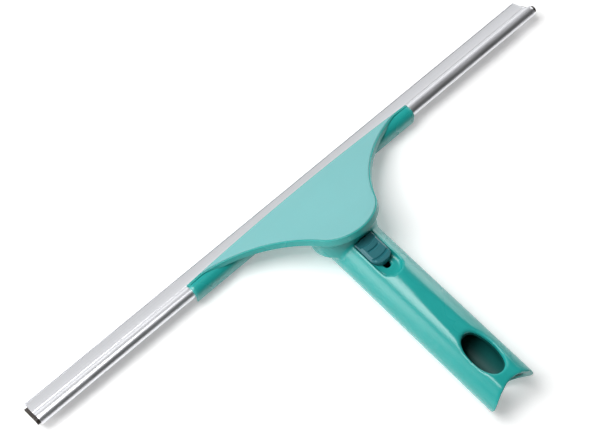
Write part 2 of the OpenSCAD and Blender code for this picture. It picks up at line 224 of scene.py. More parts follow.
def moulded_surface() -> bpy.types.NodeTree:
    """Makes the group for moulded plastic: colour, roughness and height of a finely grained skin.

    Returns:
        The group, with a colour that drifts a little and a painted highlight that pales it where an edge is thin.
    """
    g = GroupMaker(
        "moulded_surface",
        [("Colour", "NodeSocketColor", (0.5, 0.5, 0.5, 1)), ("Edge Colour", "NodeSocketColor", (1, 1, 1, 1)),
         ("Edge Amount", "NodeSocketFloat", 0.3), ("Grain Scale", "NodeSocketFloat", 2500.0),
         ("Roughness", "NodeSocketFloat", 0.35)],
        SKIN_OUTPUTS)
    place = g.node("ShaderNodeTexCoord").outputs["Object"]
    drift = g.noise(place, 3.0, 22.0)
    toned = g.node("ShaderNodeVectorMath", operation="SCALE")
    g.link(g.given("Colour"), toned.inputs[0])
    g.link(g.ranged(drift, WHOLE, (0.94, 1.06)), toned.inputs["Scale"])
    # Painted highlight: thin edges are mixed towards the paler edge colour, standing in for light caught on rounded
    # edges.
    edge = g.ranged(g.node("ShaderNodeNewGeometry").outputs["Pointiness"], (0.51, 0.62), WHOLE)
    painted_edge_highlight = g.combined("MULTIPLY", edge, g.given("Edge Amount"))
    g.gives("Colour", g.mixed(painted_edge_highlight, toned.outputs["Vector"], g.given("Edge Colour")))
    g.gives("Roughness", g.combined("ADD", g.given("Roughness"), g.ranged(drift, WHOLE, (-0.05, 0.05))))
    g.gives("Height", g.noise(place, 2.0, g.given("Grain Scale")))
    return g.tree


def drawn_lines() -> bpy.types.NodeTree:
    """Makes the group for drawn or turned metal: fine lines along X, with their tone and height.

    Returns:
        The group, whose lines are long and hair thin.
    """
    g = GroupMaker(
        "drawn_lines",
        [("Colour", "NodeSocketColor", (0.8, 0.8, 0.8, 1)), ("Dull Colour", "NodeSocketColor", (0.6, 0.6, 0.6, 1)),
         ("Line Scale", "NodeSocketFloat", 3000.0), ("Roughness", "NodeSocketFloat", 0.3)],
        SKIN_OUTPUTS)
    place = g.node("ShaderNodeTexCoord").outputs["Object"]
    stretch = g.node("ShaderNodeMapping")
    stretch.inputs["Scale"].default_value = (0.004, 1.0, 1.0)
    g.link(place, stretch.inputs["Vector"])
    lines = g.noise(stretch.outputs["Vector"], 4.0, g.given("Line Scale"))
    cloud = g.noise(place, 2.0, 45.0)
    dull = g.ranged(lines, (0.35, 0.75), (0.0, 0.35))
    g.gives("Colour", g.mixed(dull, g.given("Colour"), g.given("Dull Colour")))
    g.gives("Roughness", g.combined("ADD", g.given("Roughness"), g.ranged(cloud, WHOLE, (-0.06, 0.08))))
    g.gives("Height", lines)
    return g.tree


def dusty_surface() -> bpy.types.NodeTree:
    """Makes the group for rubber: a dark skin with faint chalk in its pores.

    Returns:
        The group, with a colour, a roughness and a pore height.
    """
    g = GroupMaker(
        "dusty_surface",
        [("Colour", "NodeSocketColor", (0.02, 0.02, 0.02, 1)), ("Dust Colour", "NodeSocketColor", (0.2, 0.2, 0.2, 1)),
         ("Roughness", "NodeSocketFloat", 0.5)],
        SKIN_OUTPUTS)
    place = g.node("ShaderNodeTexCoord").outputs["Object"]
    pores = g.node("ShaderNodeTexVoronoi")
    pores.inputs["Scale"].default_value = 2600.0
    g.link(place, pores.inputs["Vector"])
    dust = g.ranged(g.noise(place, 5.0, 320.0), (0.55, 0.8), (0.0, 0.5))
    g.gives("Colour", g.mixed(dust, g.given("Colour"), g.given("Dust Colour")))
    g.gives("Roughness", g.combined("ADD", g.given("Roughness"), g.ranged(dust, WHOLE, (0.0, 0.3))))
    g.gives("Height", pores.outputs["Distance"])
    return g.tree


# ---- finishes -------------------------------------------------------------------------------


class Surface(Enum):
    """Shared group that a finish is made with."""

    MOULDED = "moulded_surface"
    DRAWN = "drawn_lines"
    DUSTY = "dusty_surface"


MAKERS: dict[Surface, Callable[[], bpy.types.NodeTree]] = {
    Surface.MOULDED: moulded_surface, Surface.DRAWN: drawn_lines, Surface.DUSTY: dusty_surface}


@dataclass(frozen=True)
class Finish:
    """One material of the tool.

    Args:
        slot: Record slot that the finish is for.
        surface: Shared group that draws its colour, roughness and height.
        values: Values of the group's inputs.
        bump: Height of the surface's relief, in metres.
        metallic: One for bare metal and nought for anything else.
        coat: Weight of the clear gloss on top.
        specular: Strength of the reflection on a non-metal.
        scatter: Share of light that passes a little way into the plastic.
    """

    slot: Slot
    surface: Surface
    values: dict[str, object]
    bump: float = 0.00002
    metallic: float = 0.0
    coat: float = 0.0
    specular: float = 0.5
    scatter: float = 0.0

    def make(self) -> bpy.types.Material:
        """Makes the material, with its one shader fed by the shared group."""
        tree = bpy.data.node_groups.get(self.surface.value) or MAKERS[self.surface]()
        material = bpy.data.materials.new(self.slot.value)
        material.use_nodes = True
        nodes, links = material.node_tree.nodes, material.node_tree.links
        shader = nodes["Principled BSDF"]
        skin = nodes.new("ShaderNodeGroup")
        skin.node_tree = tree
        for name, value in self.values.items():
            skin.inputs[name].default_value = value
        shader.inputs["Metallic"].default_value = self.metallic
        shader.inputs["Coat Weight"].default_value = self.coat
        shader.inputs["Coat Roughness"].default_value = 0.08
        shader.inputs["Specular IOR Level"].default_value = self.specular
        shader.inputs["Subsurface Weight"].default_value = self.scatter
        shader.inputs["Subsurface Radius"].default_value = (0.2, 1.0, 0.9)
        shader.inputs["Subsurface Scale"].default_value = 0.0015
        links.new(skin.outputs["Colour"], shader.inputs["Base Color"])
        links.new(skin.outputs["Roughness"], shader.inputs["Roughness"])
        relief = nodes.new("ShaderNodeBump")
        relief.inputs["Strength"].default_value = 0.6
        relief.inputs["Distance"].default_value = self.bump
        links.new(skin.outputs["Height"], relief.inputs["Height"])
        links.new(relief.outputs["Normal"], shader.inputs["Normal"])
        return material


# Each moulded finish's edge highlight colour and amount paint a highlight along its thin edges.
FINISHES = (
    Finish(Slot.TEAL, Surface.MOULDED,
           {"Colour": (0.016, 0.37, 0.345, 1), "Edge Colour": (0.20, 0.66, 0.62, 1), "Edge Amount": 0.5,
            "Grain Scale": 2600.0, "Roughness": 0.27}, scatter=0.1),
    Finish(Slot.PALE, Surface.MOULDED,
           {"Colour": (0.185, 0.485, 0.49, 1), "Edge Colour": (0.62, 0.88, 0.88, 1), "Edge Amount": 0.6,
            "Grain Scale": 2200.0, "Roughness": 0.36}, scatter=0.1),
    Finish(Slot.DEEP, Surface.MOULDED,
           {"Colour": (0.015, 0.145, 0.17, 1), "Edge Colour": (0.12, 0.36, 0.40, 1), "Edge Amount": 0.6,
            "Grain Scale": 3200.0, "Roughness": 0.42}, bump=0.00003),
    Finish(Slot.ALLOY, Surface.DRAWN,
           {"Colour": (0.86, 0.87, 0.90, 1), "Dull Colour": (0.66, 0.67, 0.70, 1), "Line Scale": 2600.0,
            "Roughness": 0.38}, bump=0.000006, metallic=1.0),
    Finish(Slot.RUBBER, Surface.DUSTY,
           {"Colour": (0.022, 0.014, 0.011, 1), "Dust Colour": (0.10, 0.075, 0.06, 1), "Roughness": 0.5},
           bump=0.00003),
    Finish(Slot.STEEL, Surface.DRAWN,
           {"Colour": (0.60, 0.61, 0.62, 1), "Dull Colour": (0.42, 0.43, 0.44, 1), "Line Scale": 1800.0,
            "Roughness": 0.26}, bump=0.00001, metallic=1.0),
    Finish(Slot.ACETAL, Surface.MOULDED,
           {"Colour": (0.74, 0.73, 0.68, 1), "Edge Colour": (0.85, 0.84, 0.80, 1), "Edge Amount": 0.3,
            "Grain Scale": 1500.0, "Roughness": 0.38}, scatter=0.1),
    Finish(Slot.BRASS, Surface.DRAWN,
           {"Colour": (0.72, 0.50, 0.20, 1), "Dull Colour": (0.50, 0.34, 0.13, 1), "Line Scale": 2200.0,
            "Roughness": 0.28}, bump=0.00001, metallic=1.0),
    # Painted shade: the socket's inside is the same teal plastic, drawn near black for the shade it lies in.
    Finish(Slot.PAINTED_SHADE_LINING, Surface.MOULDED,
           {"Colour": (0.002, 0.085, 0.08, 1), "Edge Colour": (0.02, 0.2, 0.18, 1), "Edge Amount": 0.2,
            "Grain Scale": 1500.0, "Roughness": 0.5}, bump=0.00003, specular=0.3),
)


# ---- mesh tools -----------------------------------------------------------------------------


def arc(centre: tuple[float, float], radius: float, start: float, end: float, steps: int) -> Section:
    """Points along an arc.

    Args:
        centre: Centre of the arc.
        radius: Its radius.
        start: Angle of its first point, in degrees.
        end: Angle of its last point, in degrees.
        steps: Number of steps between them.

    Returns:
        The points, one more than the steps.
    """
    turns = [math.radians(start + (end - start) * i / steps) for i in range(steps + 1)]
    return [(centre[0] + radius * math.cos(a), centre[1] + radius * math.sin(a)) for a in turns]


def rounded(corners: Sequence[tuple[float, float, float]], steps: int = 3) -> Section:
    """Rounds the corners of a closed outline.

    Args:
        corners: Each corner's place and the radius it is rounded to; nought keeps it as it is.
        steps: Steps in each rounded corner.

    Returns:
        The outline's points, as many for any place of the same corners.
    """
    points: Section = []
    for i, (u, n, radius) in enumerate(corners):
        here = Vector((u, n))
        if radius <= 0:
            points.append((u, n))
            continue
        before = Vector(corners[i - 1][:2]) - here
        after = Vector(corners[(i + 1) % len(corners)][:2]) - here
        reach = min(radius, 0.45 * before.length, 0.45 * after.length)
        a = here + before.normalized() * reach if before.length > 0 else here
        b = here + after.normalized() * reach if after.length > 0 else here
        for k in range(steps + 1):
            t = k / steps
            p = a * (1 - t) ** 2 + here * 2 * t * (1 - t) + b * t * t
            points.append((p.x, p.y))
    return points


def loft(rings: Sequence[Sequence[Vector]]) -> bmesh.types.BMesh:
    """Skins a row of closed rings, by extruding the first ring's edges from ring to ring.

    Args:
        rings: Rings with the same number of points.

    Returns:
        A closed mesh with a face over each end.
    """
    bm = bmesh.new()
    verts = [bm.verts.new(p) for p in rings[0]]
    edges = [bm.edges.new((verts[i - 1], verts[i])) for i in range(len(verts))]
    bmesh.ops.contextual_create(bm, geom=edges)
    for ring in rings[1:]:
        grown = bmesh.ops.extrude_edge_only(bm, edges=edges)["geom"]
        fresh = {v for v in grown if isinstance(v, bmesh.types.BMVert)}
        verts = [next(e.other_vert(v) for e in v.link_edges if e.other_vert(v) in fresh) for v in verts]
        for v, p in zip(verts, ring):
            v.co = p
        edges = [bm.edges.get((verts[i - 1], verts[i])) for i in range(len(verts))]
    bmesh.ops.contextual_create(bm, geom=edges)
    return bm


def tidy(bm: bmesh.types.BMesh) -> bmesh.types.BMesh:
    """Merges doubled points, drops faces with no area and turns every face outwards."""
    bmesh.ops.remove_doubles(bm, verts=bm.verts[:], dist=MERGE)
    bmesh.ops.dissolve_degenerate(bm, edges=bm.edges[:], dist=MERGE)
    bmesh.ops.recalc_face_normals(bm, faces=bm.faces[:])
    return bm


def mesh_object(name: str, bm: bmesh.types.BMesh, sharp: float = 40.0) -> bpy.types.Object:
    """Turns a finished mesh into an object at the origin.

    Args:
        name: Name of the piece.
        bm: Its mesh, which is freed.
        sharp: Angle past which an edge is shaded sharp, in degrees.

    Returns:
        The object, linked to the scene and smooth shaded.
    """
    mesh = bpy.data.meshes.new(name)
    bm.to_mesh(mesh)
    bm.free()
    mesh.shade_smooth()
    mesh.set_sharp_from_angle(angle=math.radians(sharp))
    made = bpy.data.objects.new(name, mesh)
    bpy.context.scene.collection.objects.link(made)
    return made


def merged_copy(node: str) -> bmesh.types.BMesh:
    """Copies a CAD node's mesh and merges its loose triangles.

    Args:
        node: Name of the CAD node.

    Returns:
        The merged mesh.
    """
    bm = bmesh.new()
    bm.from_mesh(frame["nodes"][node].data)
    bmesh.ops.remove_doubles(bm, verts=bm.verts[:], dist=MERGE)
    return bm


def relaxed(made: bpy.types.Object, voxel: float, rounds: int, cutter: bpy.types.Object | None = None) -> None:
    """Remeshes a solid evenly and relaxes it, which rounds all its edges a little.

    Args:
        made: The solid, whose mesh is replaced.
        voxel: Size of the new faces, in metres.
        rounds: Rounds of smoothing.
        cutter: Solid to take away first, which is removed.
    """
    if cutter is not None:
        cut = made.modifiers.new("cut", "BOOLEAN")
        cut.operation = "DIFFERENCE"
        cut.solver = "EXACT"
        cut.object = cutter
    remesh = made.modifiers.new("remesh", "REMESH")
    remesh.mode = "VOXEL"
    remesh.voxel_size = voxel
    shown = made.evaluated_get(bpy.context.evaluated_depsgraph_get())
    fresh = bpy.data.meshes.new_from_object(shown)
    made.modifiers.clear()
    made.data = fresh
    if cutter is not None:
        bpy.data.objects.remove(cutter)
    bm = bmesh.new()
    bm.from_mesh(fresh)
    for _ in range(rounds):
        bmesh.ops.smooth_vert(bm, verts=bm.verts[:], factor=0.5, use_axis_x=True, use_axis_y=True, use_axis_z=True)
    bm.to_mesh(fresh)
    bm.free()
    fresh.shade_smooth()


# ---- the tool's own axes --------------------------------------------------------------------


@dataclass(frozen=True)
class HeadAxes:
    """Axes of the sloping head: x along the rail, u forward down the wing, n square to it.

    Args:
        bead_r: Outside radius of the rail's round bead.
    """

    bead_r: float = 3.6 * MM

    @cached_property
    def tilt(self) -> float:
        """Slope of the head, from the swivel joint's axis."""
        joint = next(j for j in frame["joints"] if j["name"] == "head_swivel")
        return math.atan2(joint["axis"][1], joint["axis"][2])

    @cached_property
    def origin(self) -> Vector:
        """Centre of the bead: level with the rail's rear, on the line through the pivot."""
        pivot = next(j for j in frame["joints"] if j["name"] == "head_swivel")["pos_m"]
        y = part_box("rail")[0].y + self.bead_r
        return Vector((0, y, pivot[2] - (y - pivot[1]) * math.tan(self.tilt)))

    def ring(self, x: float, section: Section) -> list[Vector]:
        """Places a section of forward and square distances at a place along the rail."""
        turn = Matrix.Rotation(-self.tilt, 4, "X")
        return [self.origin + turn @ Vector((x, u, n)) for u, n in section]


# ---- sub-assemblies -------------------------------------------------------------------------


@dataclass
class Workshop:
    """Keeps the materials and dresses finished pieces with them."""

    materials: dict[Slot, bpy.types.Material] = field(default_factory=dict)

    def open(self) -> None:
        """Makes every material once."""
        for finish in FINISHES:
            self.materials[finish.slot] = finish.make()

    def dress(self, piece: bpy.types.Object, body: Body, slot: Slot, *nodes: str) -> bpy.types.Object:
        """Gives a piece its material and its body, and hides the CAD nodes it stands for.

        Args:
            piece: The finished piece.
            body: Body that it moves with.
            slot: Finish that it takes.
            nodes: CAD nodes that it replaces.

        Returns:
            The same piece.
        """
        piece.data.materials.clear()
        piece.data.materials.append(self.materials[slot])
        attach(piece, body.value)
        if nodes:
            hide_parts(*nodes)
        LOG.info("%s rides on %s with %d faces", piece.name, body.value, len(piece.data.polygons))
        return piece

    def dress_hardware(self) -> None:
        """Gives each CAD node that still shows the material of its own slot, and the pole sleeve the painted-shade
        lining.
        """
        for part in frame["record"]["subparts"]:
            shown = frame["nodes"][part["node"]]
            if shown.hide_render:
                continue
            # The pole sleeve takes the painted-shade lining in place of its own slot.
            slot = Slot.PAINTED_SHADE_LINING if part["node"] == "pole_sleeve" else Slot(part["material_slot"])
            for place in shown.material_slots:
                place.material = self.materials[slot]
            if not shown.material_slots:
                shown.data.materials.append(self.materials[slot])


@dataclass
class RailAndBlade:
    """Extruded aluminium rail and the rubber blade in its channel.

    Args:
        axes: Axes of the head.
        channel_r: Inner radius of the bead.
        slot_top: Height of the slot's upper side over the bead's centre.
        slot_low: Height of its lower side.
        land: Distance from the bead's centre to the crease where the wing's dish begins.
        edge_at: Distance to the centre of the rounded front edge.
        edge_r: Radius of that edge.
        wing_t: Thickness of the wing.
        dish_mid: Distance to the lowest line of the dish.
        dish_r: Radius of the dish.
        dip: Height of its lowest line over the bead's centre.
        crease: Depth of the drawn creases.
        chamfer: Broken edge at each cut end.
        bulb_r: Radius of the rubber's bulb.
        lip_reach: Distance to the tip of the rubber lip.
        lip_low: Height of that tip.
        lip_t: Thickness of the lip at its tip.
        tuck: How far the wing and the valley stand off the bead's outside.
        nose_back: Distance from the edge's centre back to where the wing's faces end.
        ridge_step: Spacing of the ridge's points behind the crease.
        ridge_rise: Heights of those points over the crease's edge.
        bead_join: Angle at which the bead rises from the valley, in degrees.
        valley_n: Height of the valley between bead and ridge.
        neck: Distance, upper side and lower side of the rubber's neck.
        web: Distance, upper side and lower side of the bend behind the lip.
        bend_r: Radius of that bend.
    """

    axes: HeadAxes
    channel_r: float = 2.5 * MM
    slot_top: float = 0.15 * MM
    slot_low: float = -1.35 * MM
    land: float = 6.3 * MM
    edge_at: float = 15.55 * MM
    edge_r: float = 0.85 * MM
    wing_t: float = 1.3 * MM
    dish_mid: float = 10.004 * MM
    dish_r: float = 40 * MM
    dip: float = 1.0 * MM
    crease: float = 0.14 * MM
    chamfer: float = 0.15 * MM
    bulb_r: float = 2.4 * MM
    lip_reach: float = 16.2 * MM
    lip_low: float = -3.0 * MM
    lip_t: float = 1.4 * MM
    tuck: float = 0.05 * MM
    nose_back: float = 0.2 * MM
    ridge_step: float = 0.25 * MM
    ridge_rise: tuple[float, float, float] = (0.05 * MM, 0.16 * MM, 0.18 * MM)
    bead_join: float = 27.0
    valley_n: float = 1.5 * MM
    neck: tuple[float, float, float] = (3.9 * MM, 0.0, -1.2 * MM)
    web: tuple[float, float, float] = (6.8 * MM, -0.55 * MM, -1.95 * MM)
    bend_r: float = 1.2 * MM

    def wing(self, u: float, radius: float) -> float:
        """Height of the wing at a distance forward, for the upper or the lower face's radius."""
        return self.dip + self.dish_r - math.sqrt(radius ** 2 - (u - self.dish_mid) ** 2)

    def rail_section(self) -> Section:
        """Outline of the rail: bead with its slot, creased wing and rounded front edge."""
        slot_in = math.degrees(math.asin(self.slot_top / self.channel_r))
        slot_out = math.degrees(math.asin(self.slot_low / self.axes.bead_r))
        inner_end = math.degrees(math.asin(self.slot_low / self.channel_r))
        start = self.axes.bead_r + self.tuck
        last = self.edge_at - self.nose_back
        lower = [start + (last - start) * i / 12 for i in range(13)]
        under = [(u, self.wing(u, self.dish_r + self.wing_t)) for u in lower]
        edge_n = self.wing(self.edge_at, self.dish_r) - self.edge_r + 0.1 * MM
        nose = arc((self.edge_at, edge_n), self.edge_r, -80, 100, 10)
        upper: Section = []
        for u in [last - (last - self.land) * i / 14 for i in range(15)]:
            upper.append((u, self.wing(u, self.dish_r)))
        first, final = upper[0], upper[-1]
        upper[0] = (first[0], first[1] - self.crease)
        ridge = [(final[0] - steps * self.ridge_step, final[1] + rise)
                 for steps, rise in zip((1, 2, 5, 8), (-self.crease, *self.ridge_rise))]
        bead = arc((0, 0), self.axes.bead_r, self.bead_join, 360 + slot_out, 48)
        channel = arc((0, 0), self.channel_r, 360 + inner_end, slot_in, 40)
        valley = [(self.axes.bead_r - self.tuck, self.valley_n)]
        return under + nose + upper + ridge + valley + bead + channel

    def blade_section(self) -> Section:
        """Outline of the rubber: bulb in the channel, neck, web and square lip."""
        bulb = arc((0, 0), self.bulb_r, -30, -360, 36)
        (neck_u, neck_top, neck_low), (web_u, web_top, web_low) = self.neck, self.web
        web = rounded([
            (neck_u, neck_top, 0.2 * MM), (web_u, web_top, self.bend_r),
            (self.lip_reach - 0.3 * MM, self.lip_low + self.lip_t, 0.15 * MM),
            (self.lip_reach, self.lip_low, 0.08 * MM), (web_u, web_low, self.bend_r),
            (neck_u, neck_low, 0.2 * MM)])
        return bulb + web

    def extrusion(self, name: str, node: str, section: Section) -> bpy.types.Object:
        """Draws a section out to a node's full length and breaks the edges of both ends.

        Args:
            name: Name of the piece.
            node: CAD node whose length it takes.
            section: Outline in the head's axes.

        Returns:
            The finished piece.
        """
        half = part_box(node)[1].x
        stops = [-half, -half + 2 * MM, -half / 2, 0.0, half / 2, half - 2 * MM, half]
        bm = tidy(loft([self.axes.ring(x, section) for x in stops]))
        caps = [f for f in bm.faces if abs(f.normal.x) > 0.99 and abs(abs(f.calc_center_median().x) - half) < MM]
        rim = [e for f in caps for e in f.edges]
        bmesh.ops.bevel(bm, geom=rim, offset=self.chamfer, offset_type="OFFSET", affect="EDGES", segments=2,
                        profile=0.5, material=-1, clamp_overlap=True)
        return mesh_object(name, bm, 30)

    def build(self, shop: Workshop) -> None:
        """Builds and dresses the rail and the blade."""
        shop.dress(self.extrusion("drawn_rail", "rail", self.rail_section()), Body.HEAD, Slot.ALLOY, "rail")
        shop.dress(self.extrusion("rubber_blade", "blade", self.blade_section()), Body.HEAD, Slot.RUBBER, "blade")


@dataclass
class HeadMoulding:
    """Wide head of two mouldings: the teal holder that wraps the bead, and the pale cover in its rim.

    Args:
        axes: Axes of the head.
        front: Front edge of the plate, forward of the bead's centre.
        tip: Rear edge of the plate out at its arm tips.
        tongue_at: Distance back to the centre of the tongue's rounded end.
        tongue_r: Radius of that end.
        cove_r: Radius of the sweep from tongue to arm.
        cove_x: Sideways distance to the sweep's centre.
        crown: Height of the cover's crown over the bead's centre.
        fall: How much lower the arm tips are.
        under: Height of the plate's underside.
        stand: Height by which the cover stands above the rim.
        cover_t: Thickness of the cover.
        rim: Width of the rim.
        hood_in: Inner radius of the hood round the bead.
        hood_out: Its outer radius.
        wall: Thickness of the hood's rear wall.
        drop: How far that wall hangs below the bead's centre.
        edge: Radius of the plate's rounded outer edge.
        crisp: Radius of the rim's inner edges.
        foot_r: Radius of the rear wall's lower edges.
        flank_r: Radius where the flank leaves the plate.
        end_round: Length by which each end of the holder is rounded.
    """

    axes: HeadAxes
    front: float = 1.5 * MM
    tip: float = -0.3 * MM
    tongue_at: float = 35 * MM
    tongue_r: float = 24 * MM
    cove_r: float = 85 * MM
    cove_x: float = 97.9 * MM
    crown: float = 8.6 * MM
    fall: float = 2.8 * MM
    under: float = 3.4 * MM
    stand: float = 0.4 * MM
    cover_t: float = 1.2 * MM
    rim: float = 0.8 * MM
    hood_in: float = 3.75 * MM
    hood_out: float = 4.95 * MM
    wall: float = 1.1 * MM
    drop: float = 6 * MM
    edge: float = 0.9 * MM
    crisp: float = 0.1 * MM
    foot_r: float = 0.4 * MM
    flank_r: float = 0.35 * MM
    end_round: float = 0.35 * MM

    @cached_property
    def half(self) -> float:
        """Half the head's width, from the CAD."""
        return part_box("rail_holder")[1].x

    @cached_property
    def join(self) -> float:
        """Angle at which the tongue's end meets the sweep, in radians."""
        return math.acos(self.cove_x / (self.cove_r + self.tongue_r))

    @cached_property
    def cove_u(self) -> float:
        """Place of the sweep's centre, forward of the bead's centre."""
        return -self.tongue_at - (self.cove_r + self.tongue_r) * math.sin(self.join)

    def rear(self, x: float, inset: float = 0.0) -> float:
        """Rear edge of the plate's outline.

        Args:
            x: Place along the rail.
            inset: How far the outline is drawn in.

        Returns:
            Its distance forward of the bead's centre.
        """
        side = abs(x)
        if side < (self.tongue_r - inset) * math.cos(self.join):
            return -self.tongue_at - math.sqrt((self.tongue_r - inset) ** 2 - side ** 2)
        spread = self.cove_r + inset
        sweep = self.cove_u + math.sqrt(max(spread ** 2 - (self.cove_x - side) ** 2, 0))
        return min(sweep, min(self.tip + inset, self.front - inset))

    def top(self, x: float) -> float:
        """Height of the arched crown at a place along the rail."""
        return self.crown - self.fall * (x / self.half) ** 2

    def cover_half(self) -> float:
        """Place where the cover narrows to a point."""
        spread = self.cove_r + self.rim
        rise = self.front - self.rim - self.cove_u
        return self.cove_x - math.sqrt(spread ** 2 - rise ** 2)

    def stations(self, end: float) -> list[float]:
        """Places along the rail for the rings, closest together round the tongue.

        Args:
            end: Place of the last ring on each side.

        Returns:
            The places, from left to right.
        """
        turn = 90 - math.degrees(self.join)
        round_end = [self.tongue_r * math.sin(math.radians(turn * i / 14)) for i in range(15)]
        sweep = [round_end[-1] + (end - round_end[-1]) * (i / 44) ** 1.25 for i in range(1, 45)]
        right = round_end + sweep
        return [-x for x in reversed(right[1:])] + right

    def holder_section(self, x: float) -> Section:
        """Outline of the holder at one place: hood, plate with its recess, rear wall and bore.

        Args:
            x: Place along the rail.

        Returns:
            The outline, always with the same number of points.
        """
        tilt = math.degrees(self.axes.tilt)
        rim_top, floor = self.top(x) - self.stand, self.top(x) - self.cover_t
        rear, rear_in = self.rear(x), self.rear(x, self.rim)
        front_in = self.front - self.rim
        if rear_in >= front_in - 0.05 * MM:
            front_in = (self.front + rear) / 2
            rear_in = front_in - 0.02 * MM
            floor = rim_top
        foot = math.degrees(math.acos(self.front / self.hood_out))
        hood = arc((0, 0), self.hood_out, tilt + 4, foot, 8)
        corners = [(u, n, 0.0) for u, n in hood]
        corners += [(self.front, rim_top, self.edge), (front_in, rim_top, self.crisp)]
        corners += [(front_in + (rear_in - front_in) * i / 8, floor, 0.0) for i in range(9)]
        corners += [(rear_in, rim_top, self.crisp), (rear, rim_top, self.edge)]
        behind = -math.sqrt(self.hood_out ** 2 - self.under ** 2)
        flank: Section = []
        for i in range(11):
            u = rear + (behind - rear) * i / 10
            flank.append((u, max(self.under, math.sqrt(max(self.hood_out ** 2 - u ** 2, 0)))))
        back = math.degrees(math.atan2(self.under, behind))
        flank += arc((0, 0), self.hood_out, back + 4, 180 + tilt, 10)
        outer, inner = (self.wall_foot(out) for out in (self.hood_out, self.hood_out - self.wall))
        corners += [(u, n, 0.0 if i else self.flank_r) for i, (u, n) in enumerate(flank)]
        corners += [(*outer, self.foot_r), (*inner, self.foot_r)]
        corners += [(u, n, 0.0) for u, n in arc((0, 0), self.hood_in, 180 + tilt, tilt + 4, 24)]
        return rounded(corners)

    def wall_foot(self, out: float) -> tuple[float, float]:
        """Foot of the hood's upright rear wall, for a face at some distance behind the bead's centre."""
        c, s = math.cos(self.axes.tilt), math.sin(self.axes.tilt)
        return (s * self.drop - c * out, -s * out - c * self.drop)

    def holder(self) -> bpy.types.Object:
        """Builds the holder by skinning its outlines along the rail."""
        places = self.stations(self.half - self.end_round)
        bm = tidy(loft([self.axes.ring(x, self.holder_section(x)) for x in places]))
        caps = [f for f in bm.faces if abs(f.normal.x) > 0.99 and abs(f.calc_center_median().x) > self.half - MM]
        out = bmesh.ops.inset_region(bm, faces=caps, thickness=0.3 * MM, depth=self.end_round, use_even_offset=True)
        LOG.info("holder ends rounded by %d faces", len(out["faces"]))
        return mesh_object("head_holder", bm, 50)

    def cover_section(self, x: float) -> Section:
        """Outline of the cover at one place, with rounded upper edges.

        Args:
            x: Place along the rail.

        Returns:
            The outline, always with the same number of points.
        """
        gap = 0.06 * MM
        top, floor = self.top(x), self.top(x) - self.cover_t + 0.03 * MM
        front = self.front - self.rim - gap
        rear = min(self.rear(x, self.rim + gap), front - 0.3 * MM)
        corners = [(front, floor, 0.0), (front, top, 0.5 * MM)]
        corners += [(front + (rear - front) * i / 8, top, 0.0) for i in range(1, 8)]
        corners += [(rear, top, 0.5 * MM), (rear, floor, 0.0)]
        return rounded(corners, 4)

    def cover(self) -> bpy.types.Object:
        """Builds the cover by skinning its outlines along the rail."""
        places = self.stations(self.cover_half() - 0.6 * MM)
        return mesh_object("pale_cover", tidy(loft([self.axes.ring(x, self.cover_section(x)) for x in places])), 50)

    def build(self, shop: Workshop) -> None:
        """Builds and dresses the holder and the cover."""
        shop.dress(self.holder(), Body.HEAD, Slot.TEAL, "rail_holder")
        shop.dress(self.cover(), Body.HEAD, Slot.PALE, "head_cover")


@dataclass
class HandleShell:
    """Hollow handle, relaxed from its CAD solid so that its moulded edges are round.

    Args:
        voxel: Size of its faces.
        rounds: Rounds of smoothing.
        oval_back: Distance from the mouth's tips to the middle of the oval hole.
        oval_len: Length of the oval hole.
        oval_w: Width of the oval hole.
        bevel: Width of the bevel round the oval hole.
        bevel_low: Height where that bevel begins.
        bevel_high: Height where it has its full width.
    """

    voxel: float = 0.6 * MM
    rounds: int = 12
    oval_back: float = 26 * MM
    oval_len: float = 28 * MM
    oval_w: float = 16 * MM
    bevel: float = 1.5 * MM
    bevel_low: float = 28.6 * MM
    bevel_high: float = 31 * MM

    def oval_ring(self, grow: float, z: float) -> list[Vector]:
        """Ring of the oval at one height, drawn out all round.

        Args:
            grow: How far it is drawn out.
            z: Its height.

        Returns:
            Points of a superellipse a little squarer than an ellipse.
        """
        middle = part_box("handle")[0].y + self.oval_back
        points = []
        for i in range(64):
            a = 2 * math.pi * i / 64
            c, s = math.cos(a), math.sin(a)
            x = (self.oval_w / 2 + grow) * math.copysign(abs(c) ** 0.94, c)
            y = (self.oval_len / 2 + grow) * math.copysign(abs(s) ** 0.94, s)
            points.append(Vector((x, middle + y, z)))
        return points

    def build(self, shop: Workshop) -> None:
        """Builds and dresses the handle."""
        made = mesh_object("handle_shell", merged_copy("handle"))
        levels = [(-0.2 * MM, self.bevel_low - 1.5 * MM), (0.0, self.bevel_low),
                  (self.bevel * 0.4, (self.bevel_low + self.bevel_high) / 2), (self.bevel, self.bevel_high),
                  (2 * self.bevel, self.bevel_high + 3 * MM)]
        funnel = mesh_object("oval_funnel", tidy(loft([self.oval_ring(g, z) for g, z in levels])))
        relaxed(made, self.voxel, self.rounds, funnel)
        shop.dress(made, Body.HANDLE, Slot.TEAL, "handle")


